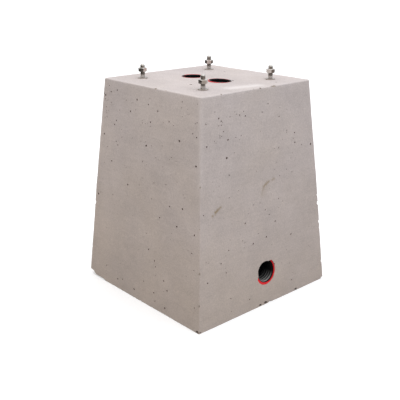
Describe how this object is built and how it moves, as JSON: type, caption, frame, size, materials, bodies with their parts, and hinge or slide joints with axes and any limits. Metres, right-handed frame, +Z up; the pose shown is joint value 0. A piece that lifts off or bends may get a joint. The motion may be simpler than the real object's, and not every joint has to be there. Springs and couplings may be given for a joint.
{
  "type": "concrete foundation block",
  "caption": "Tapered precast concrete block with cable conduits running from its top to its sides, and threaded studs with nuts and washers on top to anchor a lighting column.",
  "frame": {"origin": "middle of the underside, on the ground", "axes": "+Z up; +X out of the front conduit's side mouth; +Y completes the right-handed frame"},
  "size_m": [0.4468, 0.4468, 0.569],
  "materials": {
    "concrete": "matt cast concrete with small air holes, faint stains and chipped arrises",
    "conduit": "red corrugated outer wall with a black bore",
    "stainless_steel": "plain stainless fasteners"
  },
  "bodies": {
    "root": {"concrete_block": "concrete", "cable_conduit_front": "conduit", "cable_conduit_rear": "conduit", "anchor_stud_front": "stainless_steel", "anchor_stud_left": "stainless_steel", "anchor_stud_right": "stainless_steel", "anchor_stud_rear": "stainless_steel", "hex_nut_front": "stainless_steel", "hex_nut_left": "stainless_steel", "hex_nut_right": "stainless_steel", "hex_nut_rear": "stainless_steel", "flat_washer_front": "stainless_steel", "flat_washer_left": "stainless_steel", "flat_washer_right": "stainless_steel", "flat_washer_rear": "stainless_steel"}
  },
  "joints": []
}
